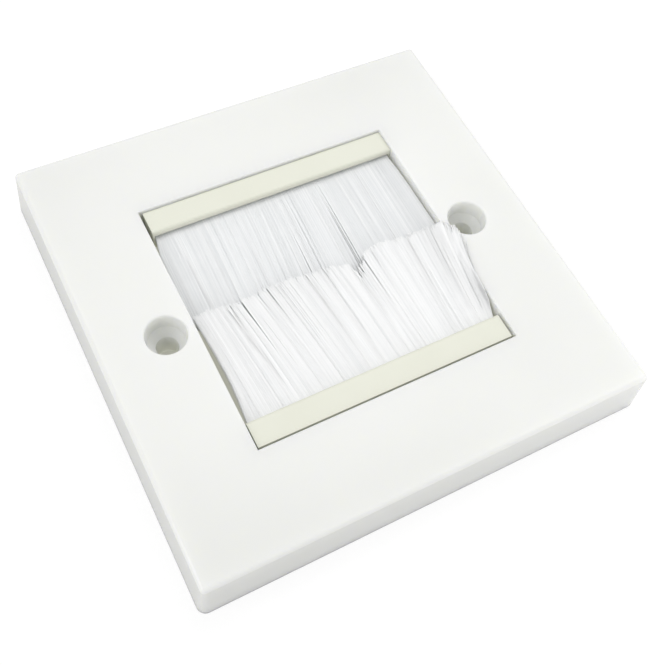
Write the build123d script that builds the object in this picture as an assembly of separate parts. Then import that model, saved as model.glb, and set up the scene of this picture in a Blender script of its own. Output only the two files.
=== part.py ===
from build123d import *

import math
import os

# Brush wall plate for one gang, lying on its back.
# The origin is the centre of the back rim.
# +Z points out of the wall, +Y up the wall and +X along the brush bars.
# All sizes are in millimetres.

# Faceplate: one moulding, hollow at the back
plate_side = 86.0
plate_depth = 10.0
side_lean = 0.9
corner_radius = 1.6
face_edge_radius = 0.8
face_thickness = 2.6
skirt_thickness = 2.2
aperture_width = 50.0
aperture_height = 50.4
aperture_edge_radius = 0.15
collar_thickness = 1.4
collar_setback = 1.6
rail_reach = 2.0
rail_thickness = 1.6
rib_thickness = 1.2
rib_setback = 3.2
hollow_corner_radius = 0.8

# Screw holes on the middle line, each in a boss with a cup and a conical seat.
# The margin is from the aperture's side to the screw's axis, and sets the two screws 60.3 apart.
screw_margin = 5.15
screw_hole_diameter = 4.0
cup_mouth_diameter = 7.3
cup_floor_diameter = 6.6
cup_depth = 2.9
cup_edge_radius = 0.3
seat_angle = 80.0
boss_diameter = 10.0
boss_setback = 0.5

# Brush holder: one moulding, used twice, the second one turned round
holder_end_play = 0.75
holder_width = 4.85
holder_recess = 0.6
holder_front_wall = 0.75
holder_rear_wall = 0.8
holder_outer_wall = 1.05
holder_end_wall = 0.35
holder_edge_radius = 0.6
holder_lip_height = 0.2
holder_lip_width = 0.5
upper_outer_gap = 0.15
lower_outer_gap = 0.5
upper_right_gap = 0.03
lower_right_gap = 0.45
leg_width = 5.0
leg_thickness = 1.0
leg_spacing = 30.0
leg_clearance = 0.1
barb_hold = 0.45
barb_height = 1.0
barb_clearance = 0.05

# Metal channel, folded from sheet and crimped at its mouth
channel_height = 2.7
channel_depth = 3.0
channel_mouth_height = 2.15
channel_sheet = 0.35
channel_fold_radius = 0.6
channel_clearance = 0.025
strip_end_clearance = 0.1

# Core wire that the filaments are folded over
wire_diameter = 0.8
wire_clearance = 0.02
pack_clearance = 0.02

# Bristle rows, each a close pack of filaments that parts into tufts
tuft_count = 60
bristle_reach = 22.1
tuft_gap_at_root = 0.08
tuft_gap_at_tip = 0.2
tuft_ridge = 0.16
tuft_half_thickness_at_root = 0.5
tuft_half_thickness_at_middle = 0.62
tuft_half_thickness_at_tip = 0.32
tuft_embedding = 0.3
root_overhang = 0.4
row_spread = 0.45
lower_row_fan_left = 1.4
lower_row_fan_right = 2.6
fan_start = 0.7
bend_share = 0.5
upper_row_sag = 0.75
lower_row_rise = 1.0
trim_scatter = 0.3
trim_scatter_rate = 2.4
lift_above_face = 0.15
lift_easing = 4.5

# How far each part of the lower row's trimmed edge falls short of bristle_reach.
# Each pair is a place along the row, from -1 at its left end to 1 at its right end, and a shortfall.
lower_edge_shortfall = [
    (-1.0, 0.0),
    (-0.66, 0.7),
    (-0.42, 0.1),
    (-0.19, 0.2),
    (0.02, 0.8),
    (0.22, 1.6),
    (0.27, 4.6),
    (0.34, 2.4),
    (0.44, 0.1),
    (0.72, 0.4),
    (1.0, 0.1),
]
upper_edge_shortfall = [(-1.0, 0.3), (-0.3, 0.0), (0.4, 0.5), (1.0, 0.1)]

# How far a cutting shape runs past the surface that it cuts
cut_overrun = 1.0

# Places that follow from the sizes
face_underside = plate_depth - face_thickness
screw_spacing = aperture_width + 2 * screw_margin
holder_length = aperture_width - holder_end_play
upper_shift = holder_end_play / 2 - upper_right_gap
lower_shift = holder_end_play / 2 - lower_right_gap
side_lean_angle = math.degrees(math.atan(side_lean / plate_depth))
slot_height = channel_height + 2 * channel_clearance
slot_depth = holder_width - holder_outer_wall
holder_height = holder_front_wall + slot_height + holder_rear_wall
holder_top = plate_depth - holder_recess
holder_bottom = holder_top - holder_height
slot_middle = holder_bottom + holder_rear_wall + slot_height / 2
rail_bottom = holder_bottom - rail_thickness
leg_inset = rail_reach + leg_clearance - min(upper_outer_gap, lower_outer_gap)
barb_reach = abs(upper_outer_gap - lower_outer_gap) + leg_clearance + barb_hold
upper_inner_edge = aperture_height / 2 - upper_outer_gap - holder_width
lower_inner_edge = aperture_height / 2 - lower_outer_gap - holder_width
strip_length = holder_length - 2 * (holder_end_wall + strip_end_clearance)
channel_back = slot_depth - channel_clearance
channel_mouth = channel_back - channel_depth
pack_half_at_mouth = channel_mouth_height / 2 - channel_sheet - pack_clearance
pack_half_at_wire = channel_height / 2 - channel_sheet - pack_clearance
wire_place = channel_back - channel_sheet - pack_clearance - pack_half_at_wire
tuft_pitch = strip_length / tuft_count


def block(x, y, z):
    """A box from three (low, high) pairs."""
    size = [high - low for low, high in (x, y, z)]
    middle = [(low + high) / 2 for low, high in (x, y, z)]
    return Pos(*middle) * Box(*size)


def bar(section, length):
    """A section drawn in Y and Z, run along X on both sides of the middle plane."""
    return extrude(Plane.YZ * section, length / 2, both=True)


def outer_body():
    """The plate's outside: a square that leans in from the wall to the face, with its front edge rounded."""
    outline = RectangleRounded(plate_side, plate_side, corner_radius)
    body = extrude(outline, plate_depth, taper=side_lean_angle)
    front_rim = body.faces().sort_by(Axis.Z)[-1].outer_wire()
    return fillet(front_rim.edges(), face_edge_radius)


def back_hollow():
    """The space inside the skirt, behind the face."""
    opening = plate_side - 2 * skirt_thickness
    outline = RectangleRounded(opening, opening, hollow_corner_radius)
    return extrude(outline, face_underside, taper=side_lean_angle)


def collar():
    """The wall round the aperture that runs back from the face, still without its hole."""
    half_width = aperture_width / 2 + collar_thickness
    half_height = aperture_height / 2 + collar_thickness
    depth = (collar_setback, face_underside)
    return block((-half_width, half_width), (-half_height, half_height), depth)


def ribs():
    """Ribs behind the face, from the collar's corners and from the screw bosses to the skirt."""
    reach = plate_side / 2 - skirt_thickness / 2 - side_lean
    depth = (rib_setback, face_underside)
    half = rib_thickness / 2
    rib_x = aperture_width / 2 + collar_thickness - half
    rib_y = aperture_height / 2 + collar_thickness - half
    made = [block((-reach, reach), (-half, half), depth)]
    for side in (-1, 1):
        along_x = (side * rib_y - half, side * rib_y + half)
        along_y = (side * rib_x - half, side * rib_x + half)
        made.append(block((-reach, reach), along_x, depth))
        made.append(block(along_y, (-reach, reach), depth))
    return made


def bosses():
    """A boss round each screw hole, down to just short of the wall."""
    height = face_underside - boss_setback
    made = []
    for side in (-1, 1):
        place = Pos(side * screw_spacing / 2, 0, boss_setback + height / 2)
        made.append(place * Cylinder(boss_diameter / 2, height))
    return made


def rails():
    """Two rails inside the collar that the brush holders sit on and clip under."""
    half_width = aperture_width / 2
    wall = aperture_height / 2
    depth = (rail_bottom, holder_bottom)
    made = []
    for side in (-1, 1):
        edges = sorted((side * wall, side * (wall - rail_reach)))
        made.append(block((-half_width, half_width), edges, depth))
    return made


def screw_hole():
    """What a screw hole takes away, turned about its axis: a cup, a conical seat and a through hole."""
    mouth = cup_mouth_diameter / 2
    floor = cup_floor_diameter / 2
    hole = screw_hole_diameter / 2
    cup_floor = plate_depth - cup_depth
    seat_depth = (floor - hole) / math.tan(math.radians(seat_angle / 2))
    above = plate_depth + cut_overrun
    wall = Polyline(
        (0, -cut_overrun),
        (hole, -cut_overrun),
        (hole, cup_floor - seat_depth),
        (floor, cup_floor),
        (mouth, plate_depth - cup_edge_radius),
    )
    rim = mouth + cup_edge_radius
    edge = TangentArc((mouth, plate_depth - cup_edge_radius), (rim, plate_depth), tangent=(0, 1))
    top = Polyline((rim, plate_depth), (rim, above), (0, above), (0, -cut_overrun))
    return revolve(Plane.XZ * make_face(wall + edge + top), Axis.Z)


def faceplate():
    """The whole moulding: skirt, face, collar, ribs, bosses, rails, aperture and screw holes."""
    plate = outer_body() - back_hollow()
    plate += [collar(), *ribs(), *bosses()]
    through = (-cut_overrun, plate_depth + cut_overrun)
    half_width = aperture_width / 2
    half_height = aperture_height / 2
    plate -= block((-half_width, half_width), (-half_height, half_height), through)
    rim = plate.faces().sort_by(Axis.Z)[-1].inner_wires()[0]
    plate = fillet(rim.edges(), aperture_edge_radius)
    plate += rails()
    for side in (-1, 1):
        plate -= Pos(side * screw_spacing / 2, 0, 0) * screw_hole()
    return plate


def rectangle(low, high):
    """A flat rectangle between two corners."""
    middle = ((low[0] + high[0]) / 2, (low[1] + high[1]) / 2)
    return Pos(*middle) * Rectangle(high[0] - low[0], high[1] - low[1])


def holder_outline():
    """The holder's outer outline, with its inner front edge rounded."""
    outline = rectangle((0, holder_bottom), (holder_width, holder_top))
    inner_top_corner = outline.vertices().sort_by(Axis.X)[:2].sort_by(Axis.Y)[-1]
    return fillet(inner_top_corner, holder_edge_radius)


def holder_section():
    """The holder's section: a C that opens inwards, with small lips that keep the channel in."""
    slot_low = slot_middle - slot_height / 2
    slot_high = slot_middle + slot_height / 2
    slot = rectangle((holder_lip_width, slot_low), (slot_depth, slot_high))
    mouth_low = slot_low + holder_lip_height
    mouth_high = slot_high - holder_lip_height
    mouth = rectangle((-cut_overrun, mouth_low), (slot_depth, mouth_high))
    return holder_outline() - slot - mouth


def clip_leg():
    """A springy leg behind the holder, with a barb that catches under the rail."""
    outer = holder_width - leg_inset
    inner = outer - leg_thickness
    root = holder_bottom + holder_rear_wall / 2
    barb_top = rail_bottom - barb_clearance
    barb_low = barb_top - barb_height
    outline = Polygon(
        (inner, root),
        (outer, root),
        (outer, barb_top),
        (outer + barb_reach, barb_top),
        (outer, barb_low),
        (inner, barb_low),
        align=None,
    )
    return bar(outline, leg_width)


def brush_holder():
    """One holder at Y 0 for its inner edge, with its outer side towards +Y."""
    holder = bar(holder_section(), holder_length)
    end = bar(holder_outline(), holder_end_wall)
    for side in (-1, 1):
        holder += Pos(side * (holder_length - holder_end_wall) / 2, 0, 0) * end
        holder += Pos(side * leg_spacing / 2, 0, 0) * clip_leg()
    return holder


def channel_outline(inset):
    """The channel's outline, drawn in by an inset: straight beside the wire, crimped towards the mouth."""
    half_back = channel_height / 2 - inset
    half_mouth = channel_mouth_height / 2 - inset
    back = channel_back - inset
    outline = Polygon(
        (channel_mouth, slot_middle - half_mouth),
        (wire_place, slot_middle - half_back),
        (back, slot_middle - half_back),
        (back, slot_middle + half_back),
        (wire_place, slot_middle + half_back),
        (channel_mouth, slot_middle + half_mouth),
        align=None,
    )
    return fillet(outline.vertices().sort_by(Axis.X)[-2:], channel_fold_radius - inset)


def strip_channel():
    """The folded channel: a flat back, two rounded folds and two flanges crimped towards the mouth."""
    return bar(channel_outline(0) - channel_outline(channel_sheet), strip_length)


def core_wire():
    """The wire inside the fold of the filaments."""
    return bar(Pos(wire_place, slot_middle) * Circle(wire_diameter / 2), strip_length)


def bristle_root():
    """The folded end of the filament pack: round behind the wire and squeezed at the channel's mouth."""
    front = -root_overhang
    fold = Pos(wire_place, slot_middle) * Circle(pack_half_at_wire)
    legs = Polygon(
        (front, slot_middle - pack_half_at_mouth),
        (channel_mouth, slot_middle - pack_half_at_mouth),
        (wire_place, slot_middle - pack_half_at_wire),
        (wire_place, slot_middle + pack_half_at_wire),
        (channel_mouth, slot_middle + pack_half_at_mouth),
        (front, slot_middle + pack_half_at_mouth),
        align=None,
    )
    hole = Pos(wire_place, slot_middle) * Circle(wire_diameter / 2 + wire_clearance)
    return bar(fold + legs - hole, strip_length)


def tuft(stations):
    """A flat-sided blade with a ridge along it, through stations of (x, y, z, half width, half thickness)."""
    rings = []
    for x, y, z, half_width, half_thickness in stations:
        ridge = half_thickness + tuft_ridge * half_width / (tuft_pitch / 2)
        ring = [
            Vector(x - half_width, y, z - half_thickness),
            Vector(x, y, z - ridge),
            Vector(x + half_width, y, z - half_thickness),
            Vector(x + half_width, y, z + half_thickness),
            Vector(x, y, z + ridge),
            Vector(x - half_width, y, z + half_thickness),
        ]
        rings.append(ring)
    faces = [Face(Wire.make_polygon(rings[0])), Face(Wire.make_polygon(rings[-1]))]
    for near, far in zip(rings, rings[1:]):
        for a in range(6):
            b = (a + 1) % 6
            faces.append(Face(Wire.make_polygon([near[a], near[b], far[b], far[a]])))
    return Solid(Shell(faces))


def shortfall_at(place, edge_line):
    """Reads a trimmed edge's shortfall at a place along the row, straight between the given points."""
    for (left, left_value), (right, right_value) in zip(edge_line, edge_line[1:]):
        if place <= right:
            share = (place - left) / (right - left)
            return left_value + share * (right_value - left_value)
    return edge_line[-1][1]


def spread_from(root_x, share, fans):
    """Where a filament that starts at root_x has got to along X, at a share of the row's reach.
    The fans are how far the row's two ends splay, at -X and at +X."""
    half_row = strip_length / 2
    place = root_x / half_row
    outermost = max(0.0, (abs(place) - fan_start) / (1 - fan_start))
    fan = fans[0] if place < 0 else fans[1]
    outwards = row_spread * abs(place) + fan * outermost**2
    return root_x + math.copysign(outwards * share**2, place)


def tuft_length(index, edge_line):
    """A tuft's length: the row's reach, less the trimmed edge's shortfall there and a small scatter."""
    place = (index + 0.5) / tuft_count * 2 - 1
    scatter = trim_scatter * math.sin(trim_scatter_rate * index * index + index)
    return bristle_reach - shortfall_at(place, edge_line) - scatter


def tuft_stations(left, right, length, rise, shift, fans):
    """A tuft's stations from root to tip.
    Where it splays past the aperture's side wall, it climbs over the rim and lies above the face."""
    tip_left = spread_from(left, 1, fans)
    tip_right = spread_from(right, 1, fans)
    bend_left = spread_from(left, bend_share, fans)
    bend_right = spread_from(right, bend_share, fans)
    past_wall = max(tip_right + shift, -tip_left - shift) - aperture_width / 2
    lift = min(1.0, max(0.0, 1 + past_wall / lift_easing)) if any(fans) else 0.0
    face_level = plate_depth + lift_above_face + tuft_half_thickness_at_tip + tuft_ridge
    tip_z = slot_middle + rise
    bend_z = slot_middle + bend_share * rise
    tip_z += lift * (face_level - tip_z)
    bend_z += lift * (face_level - bend_z)
    bend_half_thickness = tuft_half_thickness_at_middle
    bend_half_thickness += lift * (tuft_half_thickness_at_tip - bend_half_thickness)
    root_x = (left + right) / 2
    root_half_width = (right - left - tuft_gap_at_root) / 2
    bend_half_width = (bend_right - bend_left - tuft_gap_at_root) / 2
    tip_half_width = (tip_right - tip_left - tuft_gap_at_tip) / 2
    root_y = -root_overhang
    return [
        (root_x, root_y + tuft_embedding, slot_middle, root_half_width, tuft_half_thickness_at_root),
        (root_x, root_y, slot_middle, root_half_width, tuft_half_thickness_at_root),
        ((bend_left + bend_right) / 2, -bend_share * length, bend_z, bend_half_width, bend_half_thickness),
        ((tip_left + tip_right) / 2, -length, tip_z, tip_half_width, tuft_half_thickness_at_tip),
    ]


def bristle_row(rise, edge_line, shift, fans):
    """One row with its tips towards -Y: a root and its tufts, which rise or sag from root to tip."""
    tufts = []
    for index in range(tuft_count):
        left = index * tuft_pitch - strip_length / 2
        length = tuft_length(index, edge_line)
        tufts.append(tuft(tuft_stations(left, left + tuft_pitch, length, rise, shift, fans)))
    return bristle_root().fuse(*tufts)


def reversed_line(edge_line):
    """The same trimmed edge, read from the other end."""
    return [(-place, value) for place, value in reversed(edge_line)]


in_upper_place = Pos(upper_shift, upper_inner_edge, 0)
in_lower_place = Pos(lower_shift, -lower_inner_edge, 0) * Rot(0, 0, 180)
upper_row = bristle_row(-upper_row_sag, upper_edge_shortfall, upper_shift, (0, 0))
lower_row = bristle_row(
    lower_row_rise,
    reversed_line(lower_edge_shortfall),
    -lower_shift,
    (lower_row_fan_right, lower_row_fan_left),
)

parts = {
    "faceplate": faceplate(),
    "upper_brush_holder": in_upper_place * brush_holder(),
    "lower_brush_holder": in_lower_place * brush_holder(),
    "upper_strip_channel": in_upper_place * strip_channel(),
    "lower_strip_channel": in_lower_place * strip_channel(),
    "upper_core_wire": in_upper_place * core_wire(),
    "lower_core_wire": in_lower_place * core_wire(),
    "upper_bristles": in_upper_place * upper_row,
    "lower_bristles": in_lower_place * lower_row,
}

os.makedirs("parts", exist_ok=True)
for name, shape in parts.items():
    export_step(shape, f"parts/{name}.step")
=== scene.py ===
import bisect
import math
import random

import bmesh
import bpy
from mathutils import Matrix, Vector


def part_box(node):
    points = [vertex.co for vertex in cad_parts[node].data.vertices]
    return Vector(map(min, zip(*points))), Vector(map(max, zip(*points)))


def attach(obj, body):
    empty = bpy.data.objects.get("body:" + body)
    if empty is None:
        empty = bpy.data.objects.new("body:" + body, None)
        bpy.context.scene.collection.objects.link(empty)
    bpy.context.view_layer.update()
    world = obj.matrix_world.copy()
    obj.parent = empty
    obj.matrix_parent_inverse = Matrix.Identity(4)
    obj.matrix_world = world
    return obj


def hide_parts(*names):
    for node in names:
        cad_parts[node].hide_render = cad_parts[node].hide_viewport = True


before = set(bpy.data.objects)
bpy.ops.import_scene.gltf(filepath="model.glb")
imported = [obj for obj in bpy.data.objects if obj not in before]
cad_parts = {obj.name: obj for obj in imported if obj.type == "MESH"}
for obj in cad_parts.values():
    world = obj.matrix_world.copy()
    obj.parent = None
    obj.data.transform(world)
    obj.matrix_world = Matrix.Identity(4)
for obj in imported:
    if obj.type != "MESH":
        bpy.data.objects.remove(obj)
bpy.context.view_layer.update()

# Faceplate
# A single moulding in hard, glossy white plastic, hollow at the back and hard-edged at the front.
# The mould's polish leaves a faint unevenness in the gloss, and the white is never quite one white.
mm = 0.001


def add_node(tree, kind, label, **settings):
    """Adds a node to a tree and sets what is named, an input by its name and anything else as a property."""
    node = tree.nodes.new(kind)
    node.label = label
    node.name = label
    for key, value in settings.items():
        if key in node.inputs:
            node.inputs[key].default_value = value
        else:
            setattr(node, key, value)
    return node


def new_group(name, inputs, outputs):
    """Makes a shader node group with its named inputs and outputs, and returns it with its two end nodes."""
    group = bpy.data.node_groups.new(name, "ShaderNodeTree")
    for socket_name, kind, value in inputs:
        socket = group.interface.new_socket(socket_name, in_out="INPUT", socket_type=kind)
        if value is not None:
            socket.default_value = value
    for socket_name, kind in outputs:
        group.interface.new_socket(socket_name, in_out="OUTPUT", socket_type=kind)
    start = add_node(group, "NodeGroupInput", "Group start")
    end = add_node(group, "NodeGroupOutput", "Group end")
    return group, start, end


def new_material(name):
    """Makes a material with nodes and returns it with its tree, its Principled shader and its coordinates."""
    material = bpy.data.materials.new(name)
    material.use_nodes = True
    tree = material.node_tree
    shader = tree.nodes["Principled BSDF"]
    coordinates = add_node(tree, "ShaderNodeTexCoord", "Coordinates")
    return material, tree, shader, coordinates


def place_group(tree, group, label, values):
    """Places a node group in a material with its own values."""
    node = add_node(tree, "ShaderNodeGroup", label)
    node.node_tree = group
    for key, value in values.items():
        node.inputs[key].default_value = value
    return node


def dress(node_names, material):
    """Gives CAD nodes a material, in the slots that they have."""
    for node_name in node_names:
        for material_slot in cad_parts[node_name].material_slots:
            material_slot.material = material


def moulded_plastic_group():
    """Moulded plastic: clouding in the colour, flow marks in the gloss and a fine unevenness of the skin."""
    group, start, end = new_group(
        "Moulded plastic",
        [
            ("Vector", "NodeSocketVector", None),
            ("Colour", "NodeSocketColor", (0.8, 0.8, 0.8, 1)),
            ("Cloud colour", "NodeSocketColor", (0.75, 0.75, 0.75, 1)),
            ("Cloud scale", "NodeSocketFloat", 60.0),
            ("Roughness", "NodeSocketFloat", 0.3),
            ("Roughness spread", "NodeSocketFloat", 0.05),
            ("Grain scale", "NodeSocketFloat", 900.0),
        ],
        [("Color", "NodeSocketColor"), ("Roughness", "NodeSocketFloat"), ("Height", "NodeSocketFloat")],
    )
    link = group.links.new
    clouds = add_node(group, "ShaderNodeTexNoise", "Clouds", Detail=3.0)
    grain = add_node(group, "ShaderNodeTexNoise", "Grain", Detail=2.0)
    link(start.outputs["Vector"], clouds.inputs["Vector"])
    link(start.outputs["Cloud scale"], clouds.inputs["Scale"])
    link(start.outputs["Vector"], grain.inputs["Vector"])
    link(start.outputs["Grain scale"], grain.inputs["Scale"])
    mix = add_node(group, "ShaderNodeMix", "Cloud the colour", data_type="RGBA")
    link(clouds.outputs["Fac"], mix.inputs["Factor"])
    link(start.outputs["Colour"], mix.inputs["A"])
    link(start.outputs["Cloud colour"], mix.inputs["B"])
    link(mix.outputs["Result"], end.inputs["Color"])
    spread = add_node(group, "ShaderNodeMath", "Spread the gloss", operation="MULTIPLY_ADD")
    link(clouds.outputs["Fac"], spread.inputs[0])
    link(start.outputs["Roughness spread"], spread.inputs[1])
    link(start.outputs["Roughness"], spread.inputs[2])
    link(spread.outputs["Value"], end.inputs["Roughness"])
    link(grain.outputs["Fac"], end.inputs["Height"])
    return group


moulded_plastic = moulded_plastic_group()


def plastic_material(name, values, relief, relief_depth):
    """A moulded plastic with the group's values, and a bump of a given strength and depth in metres."""
    material, tree, shader, coordinates = new_material(name)
    plastic = place_group(tree, moulded_plastic, "Moulded plastic", values)
    bump = add_node(tree, "ShaderNodeBump", "Skin", Strength=relief, Distance=relief_depth)
    link = tree.links.new
    link(coordinates.outputs["Object"], plastic.inputs["Vector"])
    link(plastic.outputs["Color"], shader.inputs["Base Color"])
    link(plastic.outputs["Roughness"], shader.inputs["Roughness"])
    link(plastic.outputs["Height"], bump.inputs["Height"])
    link(bump.outputs["Normal"], shader.inputs["Normal"])
    return material


white_moulding = plastic_material(
    "white moulding",
    {
        "Colour": (0.845, 0.85, 0.83, 1),
        "Cloud colour": (0.815, 0.822, 0.80, 1),
        "Cloud scale": 45.0,
        "Roughness": 0.16,
        "Roughness spread": 0.08,
        "Grain scale": 700.0,
    },
    relief=0.08,
    relief_depth=0.02 * mm,
)
white_shader = white_moulding.node_tree.nodes["Principled BSDF"]
white_shader.inputs["IOR"].default_value = 1.5
white_shader.inputs["Subsurface Weight"].default_value = 0.8
white_shader.inputs["Subsurface Radius"].default_value = (1.0, 1.0, 0.85)
white_shader.inputs["Subsurface Scale"].default_value = 3.0 * mm
dress(["faceplate"], white_moulding)

# Brush holders
# Two bars moulded in an ivory plastic, softer and less polished than the faceplate.
# Each clips under a rail behind the face and holds one strip brush in its slot.
ivory_moulding = plastic_material(
    "ivory moulding",
    {
        "Colour": (0.80, 0.81, 0.705, 1),
        "Cloud colour": (0.77, 0.775, 0.665, 1),
        "Cloud scale": 90.0,
        "Roughness": 0.34,
        "Roughness spread": 0.12,
        "Grain scale": 1500.0,
    },
    relief=0.25,
    relief_depth=0.02 * mm,
)
dress(["upper_brush_holder", "lower_brush_holder"], ivory_moulding)

# Strip channels and core wires
# The channel of each strip brush is folded from plated steel sheet and crimped on the filaments.
# The filaments are folded over a drawn steel wire that runs the length of the channel.


def drawn_metal_group():
    """Metal drawn or rolled along X: long streaks in its gloss, and a dull bloom of plating."""
    group, start, end = new_group(
        "Drawn metal",
        [
            ("Vector", "NodeSocketVector", None),
            ("Colour", "NodeSocketColor", (0.6, 0.6, 0.6, 1)),
            ("Bloom colour", "NodeSocketColor", (0.5, 0.5, 0.5, 1)),
            ("Streak scale", "NodeSocketFloat", 900.0),
            ("Roughness", "NodeSocketFloat", 0.3),
            ("Roughness spread", "NodeSocketFloat", 0.2),
        ],
        [("Color", "NodeSocketColor"), ("Roughness", "NodeSocketFloat"), ("Height", "NodeSocketFloat")],
    )
    link = group.links.new
    stretch = add_node(group, "ShaderNodeMapping", "Stretch along X", Scale=(0.04, 1.0, 1.0))
    streaks = add_node(group, "ShaderNodeTexNoise", "Streaks", Detail=4.0)
    bloom = add_node(group, "ShaderNodeTexNoise", "Bloom", Scale=220.0, Detail=3.0)
    link(start.outputs["Vector"], stretch.inputs["Vector"])
    link(stretch.outputs["Vector"], streaks.inputs["Vector"])
    link(start.outputs["Streak scale"], streaks.inputs["Scale"])
    link(start.outputs["Vector"], bloom.inputs["Vector"])
    mix = add_node(group, "ShaderNodeMix", "Bloom on the colour", data_type="RGBA")
    link(bloom.outputs["Fac"], mix.inputs["Factor"])
    link(start.outputs["Colour"], mix.inputs["A"])
    link(start.outputs["Bloom colour"], mix.inputs["B"])
    link(mix.outputs["Result"], end.inputs["Color"])
    spread = add_node(group, "ShaderNodeMath", "Spread the gloss", operation="MULTIPLY_ADD")
    link(streaks.outputs["Fac"], spread.inputs[0])
    link(start.outputs["Roughness spread"], spread.inputs[1])
    link(start.outputs["Roughness"], spread.inputs[2])
    link(spread.outputs["Value"], end.inputs["Roughness"])
    link(streaks.outputs["Fac"], end.inputs["Height"])
    return group


drawn_metal = drawn_metal_group()


def metal_material(name, values, relief):
    """A drawn metal with the group's values and a fine bump along its streaks."""
    material, tree, shader, coordinates = new_material(name)
    shader.inputs["Metallic"].default_value = 1.0
    metal = place_group(tree, drawn_metal, "Drawn metal", values)
    bump = add_node(tree, "ShaderNodeBump", "Streak relief", Strength=relief, Distance=0.01 * mm)
    link = tree.links.new
    link(coordinates.outputs["Object"], metal.inputs["Vector"])
    link(metal.outputs["Color"], shader.inputs["Base Color"])
    link(metal.outputs["Roughness"], shader.inputs["Roughness"])
    link(metal.outputs["Height"], bump.inputs["Height"])
    link(bump.outputs["Normal"], shader.inputs["Normal"])
    return material


plated_strip = metal_material(
    "plated strip",
    {
        "Colour": (0.62, 0.62, 0.60, 1),
        "Bloom colour": (0.52, 0.53, 0.53, 1),
        "Streak scale": 1400.0,
        "Roughness": 0.25,
        "Roughness spread": 0.2,
    },
    relief=0.3,
)
dress(["upper_strip_channel", "lower_strip_channel"], plated_strip)
steel_wire = metal_material(
    "steel wire",
    {
        "Colour": (0.55, 0.55, 0.54, 1),
        "Bloom colour": (0.47, 0.47, 0.47, 1),
        "Streak scale": 2600.0,
        "Roughness": 0.2,
        "Roughness spread": 0.25,
    },
    relief=0.2,
)
dress(["upper_core_wire", "lower_core_wire"], steel_wire)

# Bristle rows
# Each row is some sixteen hundred nylon filaments, folded in half over the core wire, so that both ends
# of each point into the aperture. The filaments cling in small bundles, and wedge-shaped partings open
# towards the tips. The lower row lies on the upper row's tips and splays over the rim at its right end.
filament_radius = 0.095 * mm
filament_sides = 3
filaments_per_row = 1600
leg_shares = [0.03, 0.2, 0.38, 0.54, 0.68, 0.8, 0.9, 1.0]
fold_angles = [-90, -45, 0, 45, 90]
wire_low, wire_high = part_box("upper_core_wire")
slot_middle = (wire_low.z + wire_high.z) / 2
plate_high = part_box("faceplate")[1]
face_level = plate_high.z
aperture_half_width = 25.0 * mm
rim_clearance = 0.12 * mm
rim_limit = aperture_half_width - rim_clearance
wall_clearance = 0.15 * mm
wall_limit = aperture_half_width - wall_clearance
wall_gap_spread = 0.15 * mm

# Filaments in the thickness of a row: three sheets to a side, which lie closer at the tips
layers_per_side = 3
layer_unevenness = 0.3
pack_at_wire = (0.5 * mm, 0.93 * mm)
pack_at_mouth = (0.04 * mm, 0.64 * mm)
pack_closing = 0.35
rise_power = 1.4

# Bundles, and how far each filament strays from its bundle
fine_bundle = {"width": (0.35 * mm, 1.3 * mm), "cling": (0.0, 0.015), "sway": 0.008 * mm}
broad_bundle = {"width": (2.0 * mm, 5.0 * mm), "cling": (0.0, 0.006), "sway": 0.015 * mm}
bundle_lift_spread = 0.012 * mm
bundle_reach_spread = 0.14 * mm
drift_spread = 0.02 * mm
lift_spread = 0.01 * mm
bow_spread = 0.015 * mm
stray_lift_spread = 0.2 * mm
trim_spread = 0.45 * mm
wear_shares = (0.7, 1.1)
tone_spread = 0.2
roll_spread = 0.2


def nylon_material():
    """White nylon: each filament a little lighter or darker than its neighbour, with a soft shine.

    Light goes through real nylon, so its shading normal is turned upwards and hardly shows its round form.
    """
    drift_share = 0.3
    normal_shares = (0.08, 0.12, 1.0)
    material, tree, shader, coordinates = new_material("nylon filament")
    shader.inputs["Roughness"].default_value = 0.38
    shader.inputs["IOR"].default_value = 1.53
    link = tree.links.new
    shade_and_tone = add_node(tree, "ShaderNodeAttribute", "Shade and tone of the filament", attribute_name="shade_and_tone")
    drift = add_node(tree, "ShaderNodeTexNoise", "Drift along the row", Scale=260.0, Detail=2.0)
    link(coordinates.outputs["Object"], drift.inputs["Vector"])
    shade = add_node(tree, "ShaderNodeMath", "Tone and drift", operation="MULTIPLY_ADD")
    shade.inputs[1].default_value = drift_share
    link(drift.outputs["Fac"], shade.inputs[0])
    link(shade_and_tone.outputs["Fac"], shade.inputs[2])
    # The mix runs from a darker bluish white to a clean white. Each row's painted shade or light sets where
    # its filaments lie in it, with a random tone about that.
    mix = add_node(tree, "ShaderNodeMix", "Nylon whites", data_type="RGBA")
    mix.inputs["A"].default_value = (0.79, 0.81, 0.82, 1)
    mix.inputs["B"].default_value = (0.95, 0.955, 0.955, 1)
    link(shade.outputs["Value"], mix.inputs["Factor"])
    link(mix.outputs["Result"], shader.inputs["Base Color"])
    geometry = add_node(tree, "ShaderNodeNewGeometry", "Surface")
    flatten = add_node(tree, "ShaderNodeVectorMath", "Turn the normal upwards", operation="MULTIPLY")
    flatten.inputs[1].default_value = normal_shares
    rescale = add_node(tree, "ShaderNodeVectorMath", "Rescale", operation="NORMALIZE")
    link(geometry.outputs["Normal"], flatten.inputs[0])
    link(flatten.outputs["Vector"], rescale.inputs[0])
    link(rescale.outputs["Vector"], shader.inputs["Normal"])
    return material


nylon_filament = nylon_material()


def read_line(points, place):
    """Reads a value at a place from (place, value) points, straight between them."""
    if place <= points[0][0]:
        return points[0][1]
    for (left, left_value), (right, right_value) in zip(points, points[1:]):
        if place <= right:
            return left_value + (right_value - left_value) * (place - left) / (right - left)
    return points[-1][1]


def smooth_step(value):
    """Eases from 0 to 1 as the value goes from 0 to 1."""
    value = min(1.0, max(0.0, value))
    return value * value * (3 - 2 * value)


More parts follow.
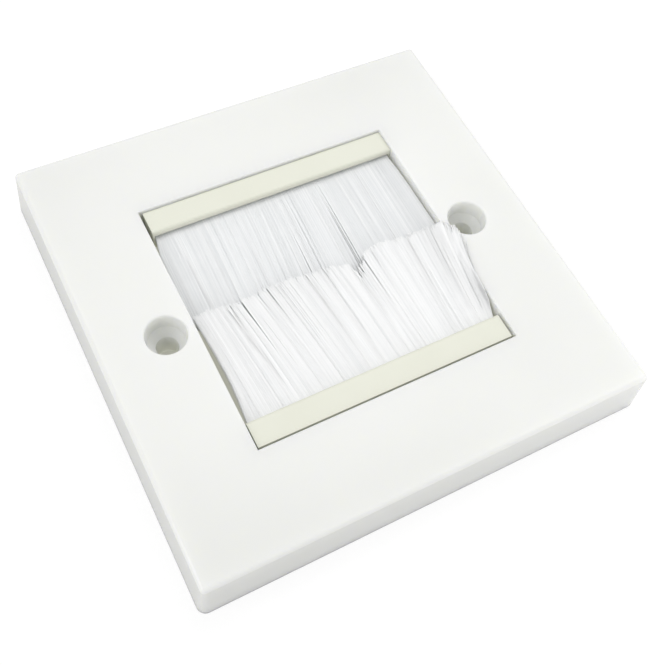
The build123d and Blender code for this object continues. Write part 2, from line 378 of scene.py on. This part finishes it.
class Bundles:
    """Neighbouring filaments that cling together: where each bundle ends, and how it leans and reaches."""

    def __init__(self, chance, low, high, kind):
        self.edges = [low]
        self.habits = []
        while self.edges[-1] < high:
            self.edges.append(self.edges[-1] + chance.uniform(*kind["width"]))
            habit = {
                "cling": chance.uniform(*kind["cling"]),
                "sway": chance.gauss(0, kind["sway"]),
                "lift": chance.gauss(0, bundle_lift_spread),
                "reach": chance.gauss(0, bundle_reach_spread),
            }
            self.habits.append(habit)

    def at(self, x):
        """The bundle's habits and its middle, for a filament that starts at x."""
        index = min(max(bisect.bisect_right(self.edges, x) - 1, 0), len(self.habits) - 1)
        middle = (self.edges[index] + self.edges[index + 1]) / 2
        return self.habits[index], middle


def straight_filament():
    """A straight three-sided filament of radius 1 and length 1 along Z, with a ring for each station."""
    stations = 2 * len(leg_shares) + len(fold_angles)
    filament = bmesh.new()
    bmesh.ops.create_cone(
        filament, cap_ends=True, cap_tris=False, segments=filament_sides, radius1=1, radius2=1, depth=1
    )
    bmesh.ops.translate(filament, verts=filament.verts, vec=(0, 0, 0.5))
    lengthwise = [e for e in filament.edges if abs(e.verts[0].co.z - e.verts[1].co.z) > 0.5]
    bmesh.ops.subdivide_edges(filament, edges=lengthwise, cuts=stations - 2, use_grid_fill=True)
    bmesh.ops.recalc_face_normals(filament, faces=filament.faces)
    mesh = bpy.data.meshes.new("straight filament")
    filament.to_mesh(mesh)
    filament.free()
    return mesh, stations


def leg_x(leg, row, share):
    """How far along the row a leg is, at a share of its length: its lean, splay, bow and flare."""
    x = leg["x"] + (leg["drift"] - leg["splay"]) * share ** row["lean_power"]
    x += leg["splay"] * smooth_step(share / leg["splay_by"])
    return x + leg["bow"] * math.sin(math.pi * share) + leg["parted"] * share**3


def leg_route(leg, row):
    """The stations of one leg, from the channel's mouth to its tip.

    A leg that ends beyond the aperture's rim has climbed over it by the share of its length where it crosses.
    """
    points = []
    crossing = row["climb_by"]
    tip_x = leg_x(leg, row, 1.0)
    if abs(tip_x) > rim_limit:
        shares = [percent / 100 for percent in range(20, 100)]
        outside = [share for share in shares if abs(leg_x(leg, row, share)) > rim_limit]
        crossing = min([crossing] + outside)
    reach_out = tip_x if tip_x > -aperture_half_width else aperture_half_width
    lifted = smooth_step((reach_out - row["lift_from"]) / (aperture_half_width - row["lift_from"]))
    top = row["lift_to"] + leg["layer"] * row["splay_layer"]
    for share in leg_shares:
        y = row["edge"] + row["towards"] * leg["length"] * share
        settle = leg["layer"] * pack_at_mouth[1] * (1 - pack_closing * share)
        z = slot_middle + settle + (row["rise"] + leg["lift"]) * share**rise_power
        z += (top - z) * math.sin(math.pi / 2 * min(1.0, share / crossing)) * lifted
        points.append(Vector((leg_x(leg, row, share), y, z)))
    return points


def filament_route(low_leg, high_leg, row):
    """The stations of a whole filament: in by its lower leg, round the wire and out by its upper leg."""
    wire_y = row["wire_y"]
    fold_radius = pack_at_wire[0] + (pack_at_wire[1] - pack_at_wire[0]) * high_leg["depth"]
    route = list(reversed(leg_route(low_leg, row)))
    for angle in fold_angles:
        turn = math.radians(angle)
        y = wire_y - row["towards"] * fold_radius * math.cos(turn)
        route.append(Vector((high_leg["x"], y, slot_middle + fold_radius * math.sin(turn))))
    route.extend(leg_route(high_leg, row))
    return route


def make_leg(chance, x, depth, side, row):
    """Chooses one leg's habits: where it lies in the pack, its bundle, its partings and its length."""
    sheet = int(depth * layers_per_side)
    level = (sheet + 0.5 + layer_unevenness * chance.uniform(-0.5, 0.5)) / layers_per_side
    layer = side * (pack_at_mouth[0] + (pack_at_mouth[1] - pack_at_mouth[0]) * level) / pack_at_mouth[1]
    fine, fine_middle = row["fine_bundles"][side][sheet].at(x)
    broad, broad_middle = row["broad_bundles"].at(x)
    drift = read_line(row["lean"], x)
    drift += fine["cling"] * (fine_middle - x) + fine["sway"]
    drift += broad["cling"] * (broad_middle - x) + broad["sway"]
    drift += read_line(row["ends"], x) + chance.gauss(0, drift_spread)
    lift = fine["lift"] + broad["lift"] + chance.gauss(0, lift_spread)
    if chance.random() < row["stray_share"] and layer > 0:
        drift += chance.gauss(0, row["stray_spread"])
        lift += abs(chance.gauss(0, stray_lift_spread))
    tip_x = x + drift
    parted = read_line(row["flare"], x)
    for parting_x, half_width, reach in row["partings"]:
        away = tip_x - parting_x
        if abs(away) < reach:
            parted += math.copysign(half_width * (1 - abs(away) / reach), away)
    tip_x = x + drift + parted
    tip_y = read_line(row["tips"], tip_x)
    length = abs(tip_y - row["edge"]) + fine["reach"] + broad["reach"] - abs(chance.gauss(0, trim_spread))
    worn_from, worn_to, worn_short, worn_share = row["worn"]
    if worn_from < tip_x < worn_to and chance.random() < worn_share:
        length -= worn_short * chance.uniform(*wear_shares)
    over_rim = row["over_rim_right"] if tip_x > 0 else row["over_rim_left"]
    if tip_x > aperture_half_width:
        length -= abs(chance.gauss(0, row["ragged"]))
    if abs(tip_x) > wall_limit and chance.random() > over_rim:
        back = abs(chance.gauss(0, wall_gap_spread))
        drift = math.copysign(wall_limit - back, tip_x) - x - parted
    return {
        "x": x,
        "depth": depth,
        "layer": layer,
        "drift": drift,
        "splay": read_line(row["ends"], x),
        "splay_by": row["splay_by"][0] if x < 0 else row["splay_by"][1],
        "parted": parted,
        "lift": lift,
        "bow": chance.gauss(0, bow_spread),
        "length": length,
    }


def build_row(name, node_name, seed, row):
    """Builds a whole row as one mesh: as many straight filaments as it has, each bent to its own route.

    A second route just beside each one gives the slope of the sheet, so that the filaments lie flat on it.
    """
    chance = random.Random(seed)
    strip_low, strip_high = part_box(row["channel"])
    start = strip_low.x + filament_radius
    end = strip_high.x - filament_radius
    wire_near, wire_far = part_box(row["wire"])
    row["wire_y"] = (wire_near.y + wire_far.y) / 2
    row["fine_bundles"] = {}
    for side in (-1, 1):
        layers = [Bundles(chance, start, end, fine_bundle) for _ in range(layers_per_side)]
        row["fine_bundles"][side] = layers
    row["broad_bundles"] = Bundles(chance, start, end, broad_bundle)
    straight, stations = straight_filament()
    mesh_maker = bmesh.new()
    routes = []
    beside = []
    tones = []
    rolls = []
    step = (end - start) / filaments_per_row
    for index in range(filaments_per_row):
        x = start + (index + chance.random()) * step
        depth = (index % layers_per_side + chance.random()) / layers_per_side
        low_leg = make_leg(chance, x, depth, -1, row)
        high_leg = make_leg(chance, x, depth, 1, row)
        routes.append(filament_route(low_leg, high_leg, row))
        next_low_leg = dict(low_leg, x=low_leg["x"] + filament_radius)
        next_high_leg = dict(high_leg, x=high_leg["x"] + filament_radius)
        beside.append(filament_route(next_low_leg, next_high_leg, row))
        # Each filament's value is its row's painted shade or light, with a random tone about it.
        tones.append(min(1.0, max(0.0, chance.gauss(row["shade_and_tone"], tone_spread))))
        rolls.append(chance.gauss(0, roll_spread) + (math.pi if row["towards"] > 0 else 0))
        mesh_maker.from_mesh(straight)
    tone_layer = mesh_maker.verts.layers.float.new("shade_and_tone")
    per_filament = len(straight.vertices)
    for number, vert in enumerate(mesh_maker.verts):
        index = number // per_filament
        route = routes[index]
        station = round(vert.co.z * (stations - 1))
        before = route[max(station - 1, 0)]
        after = route[min(station + 1, stations - 1)]
        along = (after - before).normalized()
        slope = min(1.0, max(-1.0, (beside[index][station].z - route[station].z) / filament_radius))
        across = Vector((1, 0, slope))
        sideways = (across - along * along.dot(across)).normalized()
        upwards = sideways.cross(along)
        turn = Matrix.Rotation(rolls[index], 2)
        section = turn @ Vector((vert.co.x, vert.co.y))
        vert.co = route[station] + (sideways * section.x + upwards * section.y) * filament_radius
        vert[tone_layer] = tones[index]
    bmesh.ops.recalc_face_normals(mesh_maker, faces=mesh_maker.faces)
    mesh = bpy.data.meshes.new(name)
    mesh_maker.to_mesh(mesh)
    mesh_maker.free()
    bpy.data.meshes.remove(straight)
    piece = bpy.data.objects.new(name, mesh)
    bpy.context.scene.collection.objects.link(piece)
    mesh.materials.append(nylon_filament)
    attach(piece, "root")
    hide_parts(node_name)


def in_mm(*points):
    """Points with all their values in millimetres, as points in the scene's metres."""
    return [tuple(value * mm for value in point) for point in points]


upper_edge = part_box("upper_brush_holder")[0].y
lower_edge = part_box("lower_brush_holder")[1].y

# A row's lists hold points (place along the row, value there), and its partings (place, half width, reach).
# Worn is where some filaments are shorter: from, to, by how much, and the share of them.
build_row(
    name="upper_filaments",
    node_name="upper_bristles",
    seed=11,
    row={
        "channel": "upper_strip_channel",
        "wire": "upper_core_wire",
        "edge": upper_edge,
        "towards": -1,
        "rise": -0.75 * mm,
        "climb_by": 0.45,
        "lift_from": 20.5 * mm,
        "lift_to": 8.0 * mm,
        "splay_layer": 0.3 * mm,
        "splay_by": (0.1, 0.1),
        "ends": in_mm((-24, -0.75), (-21.5, 0), (22.8, 0), (24.8, 0.3)),
        "flare": in_mm((0, 0)),
        "lean_power": 1.2,
        "lean": in_mm((-23.6, -0.2), (-18, -0.4), (-4, -1.6), (0, -1), (12, 0.1), (24.4, 0.3)),
        "over_rim_left": 0.0,
        "over_rim_right": 0.0,
        "ragged": 0.0,
        "stray_share": 0.012,
        "stray_spread": 0.5 * mm,
        # Painted shade: the upper row's filaments are set darker on the whole, for the shade it lies in under
        # the lower row.
        "shade_and_tone": 0.25,
        "tips": in_mm((-25, 1.4), (-23, -1.2), (-8, -1.9), (10, -1.4), (25, -1.8)),
        "worn": (6.4 * mm, 8.7 * mm, 3.6 * mm, 0.42),
        "partings": in_mm((-4.3, 0.1, 0.5), (-1.3, 0.1, 0.5)),
    },
)

build_row(
    name="lower_filaments",
    node_name="lower_bristles",
    seed=12,
    row={
        "channel": "lower_strip_channel",
        "wire": "lower_core_wire",
        "edge": lower_edge,
        "towards": 1,
        "rise": 1.0 * mm,
        "climb_by": 1.0,
        "lift_from": 20.0 * mm,
        "lift_to": face_level + rim_clearance,
        "splay_layer": 0.12 * mm,
        "splay_by": (0.35, 0.08),
        "ends": in_mm((-24.1, 0.6), (-22, 0), (22, 0), (24.1, 0.75)),
        "flare": in_mm((-24.1, -0.9), (-20, 0), (20, 0), (22.5, 1.1), (24.1, 2.5)),
        "lean_power": 1.25,
        "lean": in_mm(
            (-24, -0.1), (-21, -1.3), (-18, -2.2), (-9, -3.2), (1, -2.3),
            (11, -1), (19, 0.9), (22, 0.7), (24, 0)
        ),
        "over_rim_left": 0.3,
        "over_rim_right": 1.0,
        "ragged": 2.2 * mm,
        "stray_share": 0.02,
        "stray_spread": 0.7 * mm,
        # Painted light: the lower row's filaments are set lighter on the whole, for the light it catches
        # above the upper row.
        "shade_and_tone": 0.75,
        "tips": in_mm(
            (-25, 2.4), (-15.8, 1.8), (-10, 2.3), (-4.5, 2.25), (0.6, 1.6), (5.3, 0.95), (5.6, -0.3),
            (6.1, -1.4), (8.3, 0.1), (8.6, 1.5), (11, 2.5), (17.7, 1.95), (25.4, 1.1), (27.5, -0.8)
        ),
        "worn": (6.0 * mm, 8.4 * mm, 1.6 * mm, 0.4),
        "partings": in_mm(
            (-15.7, 0.24, 1), (-12.4, 0.14, 0.6), (-10.5, 0.16, 0.7), (0.4, 0.1, 0.5), (8.5, 0.12, 0.5)
        ),
    },
)

# Floor
# A plain white sheet under the plate. The camera sees it close to white, with the plate's soft shadow kept.
# Under the plate the camera sees a dim olive glow, a painted shade, and there the sheet gives off a little
# painted light for what real bristles let through.
floor_half_width = 6.0
floor_drop = 0.05 * mm
under_plate_half_width = plate_high.x - 1.5 * mm


def white_sheet_material():
    """A white sheet. It is seen as a dull surface lifted by a glow, and lights the plate as a plain one.
    Under the plate it is seen with a painted shade and glows a little as painted light.
    """
    material, tree, shader, coordinates = new_material("white sheet")
    shader.inputs["Base Color"].default_value = (0.72, 0.72, 0.72, 1)
    shader.inputs["Roughness"].default_value = 0.9
    shader.inputs["Emission Strength"].default_value = 1.0
    link = tree.links.new

    # Under the plate or clear of it
    place = add_node(tree, "ShaderNodeSeparateXYZ", "Place on the floor")
    across = add_node(tree, "ShaderNodeMath", "Off the middle in X", operation="ABSOLUTE")
    along = add_node(tree, "ShaderNodeMath", "Off the middle in Y", operation="ABSOLUTE")
    farther = add_node(tree, "ShaderNodeMath", "Farther of the two", operation="MAXIMUM")
    clear = add_node(tree, "ShaderNodeMath", "Clear of the plate", operation="GREATER_THAN")
    clear.inputs[1].default_value = under_plate_half_width
    link(coordinates.outputs["Object"], place.inputs["Vector"])
    link(place.outputs["X"], across.inputs[0])
    link(place.outputs["Y"], along.inputs[0])
    link(across.outputs["Value"], farther.inputs[0])
    link(along.outputs["Value"], farther.inputs[1])
    link(farther.outputs["Value"], clear.inputs[0])

    # As the camera sees it
    seen_floor = add_node(tree, "ShaderNodeBsdfDiffuse", "Floor as seen", Color=(0.25, 0.25, 0.25, 1))
    glow = add_node(tree, "ShaderNodeEmission", "Lift to white", Strength=1.0)
    # Beside the plate the glow lifts the sheet to white; under it, a dim olive glow is painted shade.
    lift_and_painted_shade = add_node(tree, "ShaderNodeMix", "Painted shade under the plate and lift beside it", data_type="RGBA")
    lift_and_painted_shade.inputs["A"].default_value = (0.32, 0.32, 0.27, 1)
    lift_and_painted_shade.inputs["B"].default_value = (0.78, 0.78, 0.78, 1)
    lifted_floor = add_node(tree, "ShaderNodeAddShader", "Lifted floor")
    link(clear.outputs["Value"], lift_and_painted_shade.inputs["Factor"])
    link(lift_and_painted_shade.outputs["Result"], glow.inputs["Color"])
    link(seen_floor.outputs["BSDF"], lifted_floor.inputs[0])
    link(glow.outputs["Emission"], lifted_floor.inputs[1])

    # As it lights the plate
    # Painted light: under the plate the sheet glows a little as it lights the plate, for the light that real
    # bristles let through.
    painted_let_through_light = add_node(tree, "ShaderNodeMix", "Painted light that the bristles let through", data_type="RGBA")
    painted_let_through_light.inputs["A"].default_value = (0.27, 0.27, 0.22, 1)
    painted_let_through_light.inputs["B"].default_value = (0, 0, 0, 1)
    link(clear.outputs["Value"], painted_let_through_light.inputs["Factor"])
    link(painted_let_through_light.outputs["Result"], shader.inputs["Emission Color"])

    light_path = add_node(tree, "ShaderNodeLightPath", "Light path")
    choice = add_node(tree, "ShaderNodeMixShader", "Seen or lighting")
    link(light_path.outputs["Is Camera Ray"], choice.inputs["Fac"])
    link(shader.outputs["BSDF"], choice.inputs[1])
    link(lifted_floor.outputs["Shader"], choice.inputs[2])
    link(choice.outputs["Shader"], tree.nodes["Material Output"].inputs["Surface"])
    return material


floor_maker = bmesh.new()
bmesh.ops.create_grid(floor_maker, x_segments=1, y_segments=1, size=floor_half_width)
bmesh.ops.translate(floor_maker, verts=floor_maker.verts, vec=(0, 0, -floor_drop))
floor_mesh = bpy.data.meshes.new("floor")
floor_maker.to_mesh(floor_mesh)
floor_maker.free()
floor_mesh.materials.append(white_sheet_material())
floor = bpy.data.objects.new("floor", floor_mesh)
bpy.context.scene.collection.objects.link(floor)

# Studio light
# An even white room, with large soft boxes at the back right and at the left. A round soft box lies on the
# face as a faint disc of reflection round the aperture, and a small low one lights the side at the right.
world = bpy.data.worlds.new("white room")
bpy.context.scene.world = world
world.use_nodes = True
world_tree = world.node_tree
room = world_tree.nodes["Background"]
room.inputs["Strength"].default_value = 0.615
seen_room = add_node(world_tree, "ShaderNodeBackground", "Room as seen", Strength=1.0)
seen_room.inputs["Color"].default_value = (1, 1, 1, 1)
room.inputs["Color"].default_value = (1, 1, 1, 1)
world_path = add_node(world_tree, "ShaderNodeLightPath", "Light path")
world_choice = add_node(world_tree, "ShaderNodeMixShader", "Seen or lighting")
world_link = world_tree.links.new
world_link(world_path.outputs["Is Camera Ray"], world_choice.inputs["Fac"])
world_link(room.outputs["Background"], world_choice.inputs[1])
world_link(seen_room.outputs["Background"], world_choice.inputs[2])
world_link(world_choice.outputs["Shader"], world_tree.nodes["World Output"].inputs["Surface"])


def soft_box(name, place, size, power, shape):
    """An area lamp that faces the plate's middle."""
    light = bpy.data.lights.new(name, "AREA")
    light.shape = shape
    light.size = size
    light.energy = power
    lamp = bpy.data.objects.new(name, light)
    bpy.context.scene.collection.objects.link(lamp)
    lamp.location = place
    lamp.rotation_mode = "QUATERNION"
    lamp.rotation_quaternion = Vector(place).to_track_quat("Z", "Y")
    return lamp


soft_box("large soft box", place=(0.9, 0.5, 1.2), size=0.9, power=3.9, shape="SQUARE")
soft_box("left soft box", place=(-0.98, -0.06, 0.75), size=0.8, power=4.7, shape="SQUARE")
side_box = soft_box("side soft box", place=(0.13, -0.14, 0.04), size=0.07, power=0.063, shape="SQUARE")
side_box.visible_glossy = False
side_box.visible_camera = False
soft_box("round soft box", place=(0.223, 0.477, 0.91), size=0.53, power=1.4, shape="DISK")

# Camera
# It looks down on the plate from the front left, a little rolled, as the photograph does. Its place and its
# lens were fitted to the plate's corners and edges, the aperture and the two screw holes.
camera_azimuth = math.radians(-37.788)
camera_elevation = math.radians(60.845)
camera_roll = math.radians(11.697)
camera_distance = 158.67 * mm
camera_aim = Vector((-4.299, -11.248, 10.0)) * mm
camera_lens = 50.02
backwards = Vector(
    (
        math.sin(camera_azimuth) * math.cos(camera_elevation),
        -math.cos(camera_azimuth) * math.cos(camera_elevation),
        math.sin(camera_elevation),
    )
)
camera_data = bpy.data.cameras.new("camera")
camera_data.lens = camera_lens
camera_data.sensor_width = 36
camera_data.clip_start = 0.01
camera = bpy.data.objects.new("camera", camera_data)
bpy.context.scene.collection.objects.link(camera)
turned = backwards.to_track_quat("Z", "Y").to_matrix() @ Matrix.Rotation(camera_roll, 3, "Z")
camera.matrix_world = Matrix.Translation(camera_aim + backwards * camera_distance) @ turned.to_4x4()
bpy.context.scene.camera = camera
bpy.context.scene.view_settings.view_transform = "Standard"
